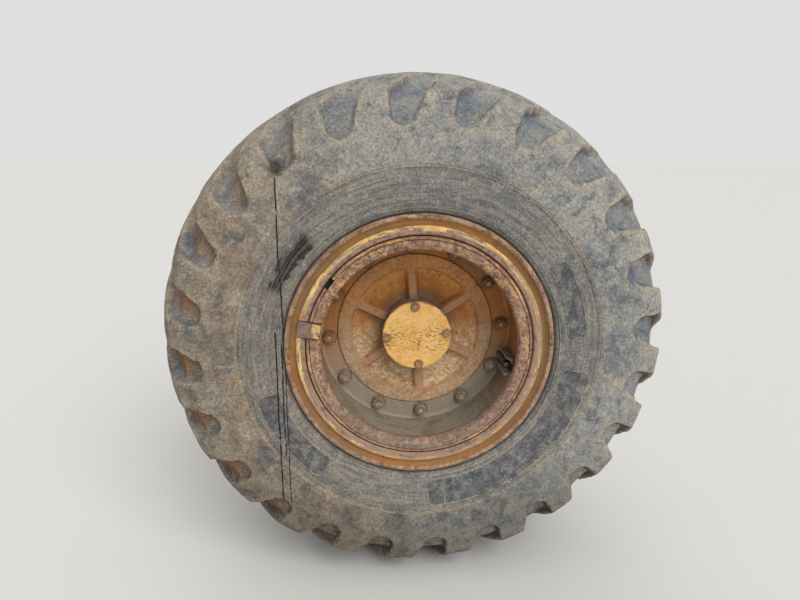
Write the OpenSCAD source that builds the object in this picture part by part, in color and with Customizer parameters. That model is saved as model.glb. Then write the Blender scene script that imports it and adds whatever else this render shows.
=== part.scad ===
// Wheel end of an articulated hauler: lug tyre on a five-piece rim, planetary hub, dry disc brake and spindle.
// The origin is the centre of the spindle flange's mating face, +Y points inboard, the wheel lies towards -Y.
// Inside on_axle() the local z is the distance outboard of that face, and angles run counter-clockwise from +X.

/* [Tyre] */
// radius over the worn crown
tyre_r = 733; // [680:1:800]
// how far each sidewall stands out beyond the rim's inner width
bulge = 44.5; // [35:0.5:55]
// drop of the worn crown from its middle to a shoulder
crown_drop = 55; // [40:1:70]
// lugs round each shoulder
lug_count = 24; // [18:1:30]
// radius of the arch that a groove makes in the shoulder
groove_r = 41.5; // [30:0.5:44]
// turn of the whole wheel at rest, in degrees
wheel_turn = 3.75; // [0:0.25:15]

/* [Rim] */
// radius of the bead seat
seat_r = 317.7; // [300:0.1:340]
// height of a side flange over the bead seat
flange_h = 50.8; // [45:0.1:58]
// width between the side flanges
rim_w = 432; // [400:1:480]
// how far the outer edge of a side flange rolls outward
flange_roll = 24; // [20:0.5:28]
// thickness of the bead seat band over the rim base
band_t = 17.7; // [15:0.1:21]
// wall of the rim base
base_t = 15; // [12:0.5:17]
// how far the gutter lip stands in from the wall
gutter_lip = 13; // [8:0.5:16]
// height of the lock ring over the rim base
lock_h = 9.5; // [8:0.5:11]
// width of the driver key
key_w = 46; // [30:1:60]

/* [Wheel disc and nuts] */
// distance from the spindle flange to the tyre's centre plane
set_out = 305; // [290:1:330]
// depth of the disc's face behind the flange edge
disc_in = 179; // [165:1:190]
// thickness of the disc
disc_t = 22; // [16:0.5:28]
// wheel nuts
nut_count = 12; // [8:1:16]
// distance of the nut circle from the rim's wall
nut_inset = 28; // [26:0.5:32]
// radius of a wheel stud
stud_r = 11; // [9:0.5:12]
// width of a nut across its corners
nut_w = 36; // [30:0.5:38]

/* [Hub] */
// width of the disc between its bore and the nut circle
disc_land = 24; // [22:0.5:28]
// width of the housing's flat outer ring
ring_w = 37; // [30:1:44]
// depth of the pans between the ribs
pan_depth = 30; // [20:1:34]
// ribs on the planetary housing
rib_count = 6; // [4:1:8]
// width of a rib
rib_w = 19; // [12:1:26]
// radius of the hub cap
cap_r = 101; // [92:1:112]
// thickness of the hub cap
cap_t = 12; // [9:0.5:16]
// how far the cap's seat stands out from the disc's face
nose_out = 45; // [36:1:54]
// thickness of the hub flange behind the disc
hub_t = 28; // [24:1:34]

/* [Brake and spindle] */
// distance from the spindle flange to the brake disc
brake_z = 150; // [145:1:160]
// thickness of the brake disc
brake_t = 22; // [18:1:28]
// thickness of the caliper over the brake disc's edge
bridge_t = 25; // [20:1:30]
// gap between the caliper and the rim's wall
caliper_gap = 10; // [8:0.5:14]
// radius of the spindle journal
journal_r = 80; // [72:1:88]
// radius of the spindle flange
mount_r = 205; // [195:1:215]
// thickness of the spindle flange
mount_t = 30; // [24:1:36]
// bolt holes in the spindle flange
mount_holes = 16; // [8:2:20]
// distance of those holes from the flange's edge
mount_inset = 30; // [24:1:36]
// radius of one of those holes
mount_hole_r = 11; // [9:0.5:13]

/* [Hidden] */
$fn = 96;

// Clearances.
fit = 0.3;
run_fit = 0.05;
clear = 5;

// Places of the rim's pieces.
rim_len = rim_w + 2 * flange_roll;
half_rim = rim_w / 2;
rim_face = set_out + rim_len / 2;
flange_t = flange_roll / 2;
flange_r = seat_r + flange_h;
base_r = seat_r - band_t;
wall_r = base_r - base_t;
seat_lip = 19.5;
lip_r = seat_r + seat_lip;
lip_in_r = wall_r - gutter_lip;
lock_r = base_r + lock_h;
lock_d = 41;
key_at = 168.75;
pry_at = 142.6;
pry_w = 32;

// Places of the disc, the nuts and the valve.
disc_face = rim_face - disc_in;
hub_face = disc_face - disc_t;
nut_circle_r = wall_r - nut_inset;
bore_r = nut_circle_r - disc_land;
nut_h = 14;
washer_t = 3;
valve_at = 343.4;
guard_w = 46;
guard_h = 26;
guard_t = 5;
guard_len = disc_in - 45;

// Places of the housing and the hub.
house_face = disc_face + 3;
pan_r = bore_r - ring_w;
nose_r = cap_r - 2;
cap_back = disc_face + nose_out;
spigot_r = bore_r - 19;
spigot_t = 26;
barrel_r = bore_r - 53;
disc_flange_r = barrel_r + 25;
disc_bolt_r = disc_flange_r - 20;
hub_end = brake_z + brake_t;
spin_end = hub_face - hub_t - spigot_t;

// Places of the brake and the spindle.
brake_r = wall_r - caliper_gap - bridge_t - clear;
brake_flange_z = mount_t + 36;
brake_flange_t = 18;
brake_flange_r = mount_r - 9;
bracket_t = 16;
bracket_z = brake_flange_z + brake_flange_t;
caliper_z = bracket_z + bracket_t;
caliper_at = 20;
caliper_out = 38;
mount_circle_r = mount_r - mount_inset;
shaft_r = 42;
shaft_depth = 240;

// Axis helpers.

module on_axle() {
    rotate([90, 0, 0])
        children();
}

module on_wheel() {
    on_axle()
        rotate([0, 0, wheel_turn])
            children();
}

module ring_at(count, r) {
    for (i = [0 : count - 1])
        rotate([0, 0, i * 360 / count])
            translate([r, 0, 0])
                children();
}

// Tyre: its half section runs from the bead toe to the crown, as [radius, distance from the centre plane].

half_w = half_rim + bulge;
half_tread = half_w - 40.5;
shoulder_r = tyre_r - crown_drop;
arc_r = (half_tread * half_tread + crown_drop * crown_drop) / (2 * crown_drop);
function crown(x) = tyre_r - arc_r + sqrt(arc_r * arc_r - x * x);
function side(t) = flange_r + t * (shoulder_r - flange_r);
crown_steps = [0.965, 0.82, 0.66, 0.48, 0.25];
outside = concat([
    [seat_r - 4.4, half_rim - 54],
    [seat_r + fit, half_rim - 3],
    [seat_r + 3, half_rim - fit],
    [flange_r - 23, half_rim - fit],
    [flange_r - 15, half_rim + 2],
    [flange_r - 8, half_rim + 7.2],
    [flange_r - 2, half_rim + 13.2],
    [flange_r + 3, half_rim + 19],
    [side(0.039), half_w - 18.5],
    [side(0.116), half_w - 12],
    [side(0.233), half_w - 5.5],
    [side(0.365), half_w - 3],
    [side(0.384), half_w],
    [side(0.580), half_w],
    [side(0.693), half_w - 6],
    [side(0.822), half_w - 17],
    [side(0.929), half_w - 29],
    [side(0.987), half_w - 37]
], [for (k = crown_steps) [crown(k * half_tread), k * half_tread]]);
inside = [
    [tyre_r - 62, 0],
    [tyre_r - 66, 0.41 * half_tread],
    [tyre_r - 88, 0.68 * half_tread],
    [side(0.76), 0.90 * half_tread],
    [side(0.60), half_w - 32],
    [side(0.38), half_w - 28],
    [side(0.13), half_w - 42],
    [flange_r - 5, half_rim - 18],
    [seat_r + 14, half_rim - 50]
];

function flip(p) = [for (i = [len(p) - 1 : -1 : 0]) [p[i][0], -p[i][1]]];
function part_of(p, a) = [for (i = [a : len(p) - 1]) p[i]];

module tyre_section() {
    polygon(concat(outside, [[tyre_r, 0]], flip(outside), flip(part_of(inside, 1)), inside));
}

// A groove is an arch cut into the shoulder, round at its inner end, and a channel that leans over the crown and
// shallows until it ends there. Their floors run from groove_in over groove_bend to groove_out.

groove_in = [shoulder_r - 87, half_tread + 30.6];
groove_bend = [shoulder_r - 38, half_tread - 2];
groove_out = [tyre_r - 6, half_tread - 158];
groove_lean = 29.6;

module over_floor(from, to) {
    translate([from[0], 0, from[1]])
        rotate([0, -atan2(to[1] - from[1], to[0] - from[0]), 0])
            children();
}

module arch() {
    intersection() {
        translate([groove_in[0] + groove_r, 0, groove_bend[1] - 60])
            union() {
                cylinder(r = groove_r, h = 140);
                translate([0, -groove_r, 0])
                    cube([120, 2 * groove_r, 140]);
            }
        over_floor(groove_in, groove_bend)
            translate([-50, -60, 0])
                cube([220, 120, 100]);
    }
}

module channel() {
    over_floor(groove_bend, groove_out)
        rotate([0, 0, -groove_lean])
            translate([-12, 2 - groove_r, 0])
                cube([half_tread, 2 * groove_r - 4, 100]);
}

module groove() {
    arch();
    channel();
}

module tyre() {
    color([0.30, 0.29, 0.27])
        on_wheel()
            translate([0, 0, set_out])
                difference() {
                    rotate([0, 0, 90 / lug_count])
                        rotate_extrude()
                            tyre_section();
                    for (i = [0 : lug_count - 1])
                        rotate([0, 0, i * 360 / lug_count])
                            groove();
                    for (i = [0 : lug_count - 1])
                        rotate([0, 0, (i + 0.5) * 360 / lug_count])
                            rotate([180, 0, 0])
                                groove();
                }
}

// Rim pieces: every section is drawn as [radius, depth behind the outer flange edge].

module rim_ring(p) {
    translate([0, 0, rim_face])
        rotate_extrude()
            polygon([for (q = p) [q[0], -q[1]]]);
}

flange_section = [
    [seat_r + fit, flange_t + fit],
    [lip_r + 2, flange_t + fit],
    [flange_r - 21.5, flange_t - 0.5],
    [flange_r - 15.5, flange_t - 4.5],
    [flange_r - 12, 2],
    [flange_r - 7.5, 0],
    [flange_r - 2, 1.2],
    [flange_r, 5.5],
    [flange_r - 2.5, flange_roll - 14],
    [flange_r - 8.5, flange_roll - 8],
    [flange_r - 15.5, flange_roll - 2.5],
    [flange_r - 23.5, flange_roll],
    [seat_r + fit, flange_roll]
];

module outer_side_flange() {
    color([0.62, 0.42, 0.26])
        on_wheel()
            rim_ring(flange_section);
}

module inner_side_flange() {
    color([0.62, 0.42, 0.26])
        on_wheel()
            translate([0, 0, 2 * set_out])
                mirror([0, 0, 1])
                    rim_ring(flange_section);
}

module key_slot(extra) {
    rotate([0, 0, key_at - wheel_turn]) {
        translate([lip_in_r + 4 - extra, -key_w / 2 - extra, rim_face - 34 - extra])
            cube([lock_r - lip_in_r - 5 + extra, key_w + 2 * extra, 33 + 2 * extra]);
        translate([lock_r - 3, -key_w / 2 - extra, rim_face - 11 - extra])
            cube([lip_r - lock_r + 2 + extra, key_w + 2 * extra, 10 + 2 * extra]);
    }
}

module pry_notch() {
    rotate([0, 0, pry_at - wheel_turn])
        translate([base_r, -pry_w / 2, rim_face - 18])
            cube([14, pry_w, 30]);
}

module bead_seat_band() {
    color([0.72, 0.58, 0.38])
        on_wheel()
            difference() {
                rim_ring([
                    [lock_r + 2.5, 9],
                    [lock_r + 6.5, 4],
                    [lip_r - 3, 3.5],
                    [lip_r, 6.5],
                    [lip_r, flange_t],
                    [seat_r, flange_t],
                    [seat_r, flange_roll],
                    [seat_r - 5, flange_roll + 56],
                    [base_r + 8, flange_roll + 80],
                    [base_r + fit, flange_roll + 84],
                    [base_r + fit, lock_d + 7],
                    [lock_r + fit, lock_d + 1],
                    [lock_r + fit, 14]
                ]);
                key_slot(1.3);
                pry_notch();
            }
}

module lock_ring() {
    color([0.70, 0.52, 0.34])
        on_wheel()
            difference() {
                rim_ring([
                    [base_r + 1, 5.5],
                    [lock_r - 1.5, 5.5],
                    [lock_r, 8],
                    [lock_r, lock_d],
                    [base_r - 8.7, lock_d - 2],
                    [base_r - 8.7, 17],
                    [base_r + 1, 15]
                ]);
                key_slot(1.3);
                pry_notch();
            }
}

module driver_key() {
    color([0.50, 0.45, 0.42])
        on_wheel()
            key_slot(0);
}

module rim_base() {
    color([0.60, 0.40, 0.25])
        on_wheel()
            difference() {
                rim_ring([
                    [base_r, 4.5],
                    [base_r - 12, 4.5],
                    [lip_in_r + 4, 9],
                    [lip_in_r, 17],
                    [lip_in_r, 27],
                    [lip_in_r + 5, 42],
                    [wall_r, 54],
                    [wall_r, rim_len - 80],
                    [wall_r + 17, rim_len - 40],
                    [wall_r + 17, rim_len - 3.5],
                    [lip_r - 3, rim_len - 3.5],
                    [lip_r, rim_len - 6.5],
                    [lip_r, rim_len - flange_t],
                    [seat_r, rim_len - flange_t],
                    [seat_r, rim_len - flange_roll],
                    [seat_r - 5, rim_len - 80],
                    [base_r, rim_len - 104],
                    [base_r, lock_d + 6],
                    [base_r - 9, lock_d],
                    [base_r - 9, 16.5],
                    [base_r, 14.5]
                ]);
                key_slot(1.3);
            }
}

// Disc with its nut ring, welded inside the rim base.

module wheel_disc() {
    color([0.58, 0.40, 0.25])
        on_wheel()
            difference() {
                rotate_extrude()
                    polygon([
                        [bore_r + fit, hub_face],
                        [wall_r, hub_face],
                        [wall_r, disc_face + 8],
                        [wall_r - 2.3, disc_face + 2.3],
                        [wall_r - 8, disc_face],
                        [bore_r + 2.3, disc_face],
                        [bore_r + fit, disc_face - 2]
                    ]);
                ring_at(nut_count, nut_circle_r)
                    translate([0, 0, hub_face - 1])
                        cylinder(r = stud_r + fit, h = disc_t + 2);
            }
}

module wheel_nuts() {
    color([0.45, 0.34, 0.27])
        on_wheel()
            ring_at(nut_count, nut_circle_r) {
                translate([0, 0, hub_face - hub_t - 12])
                    cylinder(r = stud_r, h = 12 + hub_t + disc_t + washer_t + nut_h + 3);
                translate([0, 0, hub_face - hub_t - 12])
                    cylinder(r = stud_r + 6, h = 12);
                translate([0, 0, disc_face])
                    cylinder(r = nut_w / 2, h = washer_t);
                translate([0, 0, disc_face + washer_t])
                    cylinder(r = nut_w / 2, h = nut_h, $fn = 6);
            }
}

// Open channel round the valve, welded to the rim's wall, with the stem inside it.

module valve_guard() {
    color([0.55, 0.45, 0.35])
        on_wheel()
            rotate([0, 0, valve_at - wheel_turn])
                difference() {
                    translate([wall_r - guard_h, -guard_w / 2, disc_face + 12])
                        cube([guard_h - guard_t, guard_w, guard_len - 12]);
                    translate([wall_r - guard_h - 1, -guard_w / 2 + guard_t, disc_face])
                        cube([guard_h - 2 * guard_t - 9, guard_w - 2 * guard_t, guard_len + 1]);
                    translate([wall_r - guard_h - 1, -guard_w / 2 + guard_t + 10, disc_face])
                        cube([guard_h - 2 * guard_t + 1, guard_w - 2 * guard_t - 20, guard_len + 1]);
                    for (y = [-1, 1])
                        translate([wall_r - 2 * guard_t - 10, y * (guard_w / 2 - guard_t - 10), disc_face])
                            cylinder(r = 10, h = guard_len + 1);
                    translate([wall_r - guard_h - 1, guard_w / 2 + 1, disc_face + guard_len - 22])
                        rotate([-25, 0, 0])
                            translate([0, -guard_w * 1.5, 0])
                                cube([guard_h + 2, guard_w * 1.5, 40]);
                }
}

module valve_stem() {
    color([0.60, 0.55, 0.45])
        on_wheel()
            rotate([0, 0, valve_at - wheel_turn])
                translate([wall_r - 18, 0, disc_face])
                    difference() {
                        union() {
                            cylinder(r = 7, h = guard_len - 47);
                            translate([0, 0, guard_len - 48])
                                cylinder(r = 5.5, h = 21);
                        }
                        translate([0, 0, guard_len - 37])
                            cylinder(r = 2.5, h = 12);
                    }
}

// Planetary housing: flat ring, pans between the ribs, round nose.

module planetary_housing() {
    color([0.66, 0.46, 0.27])
        on_wheel() {
            rotate_extrude()
                polygon([
                    [0, hub_face - spigot_t],
                    [spigot_r, hub_face - spigot_t],
                    [spigot_r, hub_face],
                    [bore_r, hub_face],
                    [bore_r, house_face - 2],
                    [bore_r - 2, house_face],
                    [pan_r + 2, house_face],
                    [pan_r, house_face - 2],
                    [pan_r - 5, house_face - pan_depth * 0.4],
                    [pan_r - 16, house_face - pan_depth * 0.6],
                    [nose_r + 18, house_face - pan_depth],
                    [nose_r + 6, house_face - pan_depth],
                    [nose_r, house_face - pan_depth + 6],
                    [nose_r, cap_back],
                    [0, cap_back]
                ]);
            rotate([0, 0, 180 / rib_count])
                for (i = [0 : rib_count - 1])
                    rotate([0, 0, i * 360 / rib_count])
                        translate([nose_r - 10, -rib_w / 2, house_face - pan_depth - 4])
                            cube([pan_r - nose_r + 13, rib_w, pan_depth + 4]);
        }
}

module hub_cap() {
    color([0.88, 0.70, 0.34])
        on_wheel()
            rotate_extrude()
                polygon([
                    [0, cap_back],
                    [cap_r - 1, cap_back],
                    [cap_r, cap_back + 1],
                    [cap_r, cap_back + cap_t - 2],
                    [cap_r - 2, cap_back + cap_t],
                    [0, cap_back + cap_t]
                ]);
}

module cap_bolts() {
    color([0.62, 0.45, 0.33])
        on_wheel()
            ring_at(4, cap_r - 14)
                translate([0, 0, cap_back + cap_t]) {
                    cylinder(r = 12.5, h = 2);
                    cylinder(r = 11, h = 8, $fn = 6);
                }
}

// Hub: flange behind the disc, barrel, and a small flange for the brake disc.

module hub() {
    color([0.55, 0.40, 0.26])
        on_wheel()
            difference() {
                rotate_extrude()
                    polygon([
                        [journal_r + run_fit, hub_end],
                        [disc_flange_r, hub_end],
                        [disc_flange_r, hub_end + 16],
                        [barrel_r + 6, hub_end + 20],
                        [barrel_r, hub_end + 34],
                        [barrel_r + 10, hub_face - hub_t - 24],
                        [spigot_r, hub_face - hub_t],
                        [wall_r - 7, hub_face - hub_t],
                        [wall_r - 7, hub_face],
                        [spigot_r + fit, hub_face],
                        [spigot_r + fit, hub_face - spigot_t - fit],
                        [0, hub_face - spigot_t - fit],
                        [0, spin_end + clear],
                        [journal_r + run_fit, spin_end + clear]
                    ]);
                ring_at(nut_count, nut_circle_r)
                    translate([0, 0, hub_face - hub_t - 1])
                        cylinder(r = stud_r + fit, h = hub_t + 2);
            }
}

module brake_disc() {
    color([0.50, 0.42, 0.36])
        on_wheel()
            difference() {
                translate([0, 0, brake_z])
                    cylinder(r = brake_r, h = brake_t);
                translate([0, 0, brake_z - 1])
                    cylinder(r = journal_r + 50, h = brake_t + 2);
            }
}

module disc_bolts() {
    color([0.45, 0.34, 0.27])
        on_wheel()
            ring_at(12, disc_bolt_r)
                translate([0, 0, brake_z - 9])
                    cylinder(r = 11, h = 9, $fn = 6);
}

// Fixed side: spindle with its bolted flange, brake bracket and caliper.

module spindle() {
    color([0.58, 0.38, 0.20])
        on_axle()
            difference() {
                rotate_extrude()
                    polygon([
                        [0, 0],
                        [mount_r, 0],
                        [mount_r, mount_t - 2],
                        [mount_r - 2, mount_t],
                        [journal_r + 60, mount_t],
                        [journal_r + 46, mount_t + 10],
                        [journal_r + 40, brake_flange_z - 4],
                        [journal_r + 44, brake_flange_z],
                        [brake_flange_r, brake_flange_z],
                        [brake_flange_r, bracket_z],
                        [journal_r + 32, bracket_z],
                        [journal_r + 24, bracket_z + 14],
                        [journal_r + 18, brake_z],
                        [journal_r + 18, hub_end - clear - 1],
                        [journal_r, hub_end - clear - 1],
                        [journal_r, spin_end],
                        [0, spin_end]
                    ]);
                ring_at(mount_holes, mount_circle_r)
                    translate([0, 0, -1])
                        cylinder(r = mount_hole_r, h = mount_t + 2);
                translate([0, 0, -1])
                    cylinder(r = shaft_r, h = shaft_depth + 1);
            }
}

module caliper_bracket() {
    color([0.55, 0.36, 0.20])
        on_axle()
            rotate([0, 0, caliper_at - 27])
                rotate_extrude(angle = 54)
                    translate([journal_r + 45, bracket_z])
                        square([wall_r - 22 - journal_r - 45, bracket_t]);
}

module brake_caliper() {
    color([0.52, 0.36, 0.24])
        on_axle()
            rotate([0, 0, caliper_at - 20])
                rotate_extrude(angle = 40)
                    polygon([
                        [disc_flange_r + 1, caliper_z],
                        [wall_r - caliper_gap - 5, caliper_z],
                        [wall_r - caliper_gap, caliper_z + 6],
                        [wall_r - caliper_gap, hub_end + clear + caliper_out - 6],
                        [wall_r - caliper_gap - 7, hub_end + clear + caliper_out],
                        [disc_flange_r + 11, hub_end + clear + caliper_out],
                        [disc_flange_r + 11, hub_end + clear],
                        [brake_r + clear, hub_end + clear],
                        [brake_r + clear, brake_z - clear],
                        [disc_flange_r + 1, brake_z - clear]
                    ]);
}

module caliper_bolts() {
    color([0.42, 0.33, 0.27])
        on_axle()
            for (a = [-14, 14])
                rotate([0, 0, caliper_at + a])
                    translate([(journal_r + 45 + brake_flange_r) / 2, 0, caliper_z])
                        cylinder(r = 15, h = 12, $fn = 6);
}

tyre();
outer_side_flange();
inner_side_flange();
bead_seat_band();
lock_ring();
driver_key();
rim_base();
wheel_disc();
wheel_nuts();
valve_guard();
valve_stem();
planetary_housing();
hub_cap();
cap_bolts();
hub();
brake_disc();
disc_bolts();
spindle();
caliper_bracket();
brake_caliper();
caliper_bolts();
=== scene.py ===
"""Looks of a haul truck wheel end: worn lug tyre, rusty five-piece rim, planetary hub, brake and spindle."""

import math

import bpy
import numpy as np
from mathutils import Euler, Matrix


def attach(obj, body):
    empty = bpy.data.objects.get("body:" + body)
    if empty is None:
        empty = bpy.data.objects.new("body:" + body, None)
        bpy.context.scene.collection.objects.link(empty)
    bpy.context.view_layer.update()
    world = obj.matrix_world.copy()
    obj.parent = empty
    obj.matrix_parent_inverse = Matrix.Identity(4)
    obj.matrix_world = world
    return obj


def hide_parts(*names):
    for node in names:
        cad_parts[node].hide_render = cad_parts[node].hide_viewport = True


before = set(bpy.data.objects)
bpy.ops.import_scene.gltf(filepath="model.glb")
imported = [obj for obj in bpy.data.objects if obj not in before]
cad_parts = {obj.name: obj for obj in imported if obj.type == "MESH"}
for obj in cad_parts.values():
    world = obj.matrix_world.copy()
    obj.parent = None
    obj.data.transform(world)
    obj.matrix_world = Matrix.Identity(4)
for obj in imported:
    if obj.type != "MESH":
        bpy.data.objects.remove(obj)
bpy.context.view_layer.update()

MM = 0.001

# Places that the construction gives, in millimetres and degrees.
RIM_FACE = 545.0
SET_OUT = 305.0
TURN = 3.75
FLANGE_R = 368.5
SEAT_R = 317.7
HALF_RIM = 216.0
HALF_W = 260.5
HALF_TREAD = 220.0
SHOULDER_R = 678.0
TYRE_R = 733.0
LUGS = 24
PITCH = 360.0 / LUGS
NUTS = 12
NUT_CIRCLE = 257.0
CAP_BOLTS = 4
CAP_BOLT_CIRCLE = 87.0
VALVE_R = 269.0
VALVE_ANGLE = 343.4
NOTCH_ANGLES = (139.0, 146.3)
KEY_ANGLES = (164.9, 172.6)
LIP_R = 300.6
LOCK_BORE_R = 300.0
BAND_GAP_R = 311.0

# Blank panels on the outer sidewall: inner and outer radius, first and last angle.
PANELS = ((404.0, 451.0, 4.0, 33.0), (397.0, 474.0, -87.0, -9.0), (404.0, 466.0, 196.0, 232.0))
# Runs of oil on the outer sidewall: x, half width, top and bottom. They start at the splash.
OIL_RUNS = ((-367, 1.8, 462, 20), (-388, 2.0, 60, -455), (-374, 1.7, 20, -300), (-366, 1.3, -20, -448))
SPLASH = (-366, 484)


# Camera at the photograph's viewing angle.

def make_camera():
    lens = bpy.data.cameras.new("camera")
    lens.lens = 26.33
    lens.sensor_width = 36.0
    camera = bpy.data.objects.new("camera", lens)
    camera.location = (-0.146, -2.040, 0.535)
    camera.rotation_euler = Euler([math.radians(a) for a in (75.26, 0.0, -3.42)])
    bpy.context.scene.collection.objects.link(camera)
    bpy.context.scene.camera = camera
    bpy.context.scene.view_settings.view_transform = "Standard"


# Materials are written as expressions: every call adds one shader node and returns its output.

def srgb(red, green, blue):
    """Linear colour of an sRGB colour given from 0 to 255."""
    def linear(c):
        c /= 255.0
        return c / 12.92 if c <= 0.04045 else ((c + 0.055) / 1.055) ** 2.4
    return (linear(red), linear(green), linear(blue), 1.0)


class Finish:
    """A material, the wheel's own coordinates in it, and short names for the nodes it is written with."""

    def __init__(self, name):
        self.material = bpy.data.materials.new(name)
        self.material.use_nodes = True
        self.tree = self.material.node_tree
        self.tree.nodes.clear()
        self.bsdf = self.tree.nodes.new("ShaderNodeBsdfPrincipled")
        output = self.tree.nodes.new("ShaderNodeOutputMaterial")
        self.tree.links.new(self.bsdf.outputs[0], output.inputs["Surface"])
        place = self.tree.nodes.new("ShaderNodeTexCoord")
        self.point = place.outputs["Object"]
        self.normal = place.outputs["Normal"]
        split = self.node("ShaderNodeSeparateXYZ", [self.point])
        self.x = self.math("MULTIPLY", split.outputs[0], 1000.0)
        self.z = self.math("MULTIPLY", split.outputs[2], 1000.0)
        self.radius = self.length(self.x, self.z)
        self.depth = self.math("MULTIPLY_ADD", split.outputs[1], 1000.0, RIM_FACE)
        self.cos = self.math("DIVIDE", self.x, self.radius)
        self.sin = self.math("DIVIDE", self.z, self.radius)

    def node(self, kind, inputs, **settings):
        made = self.tree.nodes.new(kind)
        for key, value in settings.items():
            setattr(made, key, value)
        for key, value in enumerate(inputs):
            self.put(made.inputs[key], value)
        return made

    def put(self, socket, value):
        if isinstance(value, bpy.types.NodeSocket):
            self.tree.links.new(value, socket)
        elif value is not None:
            socket.default_value = value

    def math(self, operation, *values):
        return self.node("ShaderNodeMath", values, operation=operation).outputs[0]

    def length(self, a, b):
        """Length of the vector (a, b)."""
        squares = self.math("ADD", self.math("MULTIPLY", a, a), self.math("MULTIPLY", b, b))
        return self.math("SQRT", squares)

    def rise(self, value, low, high):
        """0 where value is below low, 1 above high, and smooth between them."""
        made = self.node("ShaderNodeMapRange", [value, low, high], interpolation_type="SMOOTHSTEP")
        return made.outputs[0]

    def fall(self, value, low, high):
        return self.math("SUBTRACT", 1.0, self.rise(value, low, high))

    def within(self, value, low, high, soft):
        """1 between low and high, with edges that are soft wide."""
        inner = self.rise(value, low - soft, low + soft)
        return self.math("MULTIPLY", inner, self.fall(value, high - soft, high + soft))

    def both(self, *masks):
        found = masks[0]
        for mask in masks[1:]:
            found = self.math("MULTIPLY", found, mask)
        return found

    def either(self, a, b):
        return self.math("MAXIMUM", a, b)

    def remap(self, value, low, high, at_low, at_high):
        """at_low where value is below low, at_high above high, and straight between them."""
        return self.node("ShaderNodeMapRange", [value, low, high, at_low, at_high]).outputs[0]

    def ragged(self, value, noise, width):
        """The value moved up or down by a noise, by at most half of width."""
        return self.math("MULTIPLY_ADD", self.math("SUBTRACT", noise, 0.5), width, value)

    def noise(self, scale, detail=5.0, roughness=0.7, shift=None, at=None):
        """A noise from 0 to 1. A shift, in metres, makes two noises of one scale differ."""
        if shift is not None:
            offset = (shift, 2.0 * shift, -shift)
            at = self.node("ShaderNodeVectorMath", [self.point, offset]).outputs[0]
        made = self.tree.nodes.new("ShaderNodeTexNoise")
        self.put(made.inputs["Vector"], at or self.point)
        made.inputs["Scale"].default_value = scale
        made.inputs["Detail"].default_value = detail
        made.inputs["Roughness"].default_value = roughness
        return made.outputs[0]

    def drawn(self, along, across, detail=5.0, roughness=0.65):
        """A noise drawn out round the wheel: slow with the angle, quick with radius and depth."""
        place = self.node("ShaderNodeCombineXYZ", [
            self.math("MULTIPLY", self.cos, along),
            self.math("MULTIPLY", self.sin, along),
            self.math("MULTIPLY", self.math("ADD", self.radius, self.depth), across),
        ])
        return self.noise(1.0, detail, roughness, at=place.outputs[0])

    def stretched(self, scales, detail, roughness):
        """A noise with its own scale along each axis."""
        place = self.node("ShaderNodeVectorMath", [self.point, scales], operation="MULTIPLY").outputs[0]
        return self.noise(1.0, detail, roughness, at=place)

    def cell_edges(self, scale):
        """Distance from the nearest edge in a net of cells."""
        made = self.tree.nodes.new("ShaderNodeTexVoronoi")
        made.feature = "DISTANCE_TO_EDGE"
        self.put(made.inputs["Vector"], self.point)
        made.inputs["Scale"].default_value = scale
        return made.outputs["Distance"]

    def mix(self, amount, a, b):
        made = self.tree.nodes.new("ShaderNodeMix")
        made.data_type = "RGBA"
        self.put(made.inputs[0], amount)
        self.put(made.inputs[6], a)
        self.put(made.inputs[7], b)
        return made.outputs[2]

    def over(self, colour, paint, *masks):
        """The colour with paint on it where every mask is 1."""
        return self.mix(self.both(*masks), colour, paint)

    def fade(self, value, low, high, a, b, amount=None):
        """Colour a where value is below low, and b, or that amount of it, where value is above high."""
        mask = self.rise(value, low, high)
        return self.mix(mask if amount is None else self.both(mask, amount), a, b)

    def scaled(self, colour, amount):
        """The colour made lighter or darker by a factor."""
        if not isinstance(colour, bpy.types.NodeSocket):
            colour = colour[:3]
        made = self.node("ShaderNodeVectorMath", [colour], operation="SCALE")
        self.put(made.inputs["Scale"], amount)
        return made.outputs[0]

    def shade(self, colour, value, low, high, at_low, at_high):
        """The colour scaled by a factor that follows value, as in remap."""
        return self.scaled(colour, self.remap(value, low, high, at_low, at_high))

    def distance(self, x, z):
        """Distance from a point of the wheel's face, in millimetres."""
        dx = self.math("SUBTRACT", self.x, float(x))
        return self.length(dx, self.math("SUBTRACT", self.z, float(z)))

    def from_spot(self, radius, angle):
        """Distance from a point of the wheel's face that is given by its radius and its angle in degrees."""
        angle = math.radians(angle)
        return self.distance(radius * math.cos(angle), radius * math.sin(angle))

    def angle(self):
        """Angle round the wheel in degrees, counter-clockwise from +X, from -180 to 180."""
        return self.math("MULTIPLY", self.math("ARCTAN2", self.z, self.x), 180.0 / math.pi)

    def attribute(self, name):
        made = self.tree.nodes.new("ShaderNodeAttribute")
        made.attribute_name = name
        return made.outputs["Fac"]

    def bump(self, height, distance, below=None):
        """Normals from a height, where distance is the height's size in metres."""
        made = self.tree.nodes.new("ShaderNodeBump")
        made.inputs["Strength"].default_value = 1.0
        made.inputs["Distance"].default_value = distance
        self.put(made.inputs["Height"], height)
        self.put(made.inputs["Normal"], below)
        return made.outputs[0]

    def finish(self, colour, roughness, normal=None, metal=0.0, specular=0.35):
        self.put(self.bsdf.inputs["Base Color"], colour)
        self.put(self.bsdf.inputs["Roughness"], roughness)
        self.put(self.bsdf.inputs["Normal"], normal)
        self.bsdf.inputs["Metallic"].default_value = metal
        self.bsdf.inputs["Specular IOR Level"].default_value = specular
        return self.material


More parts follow.
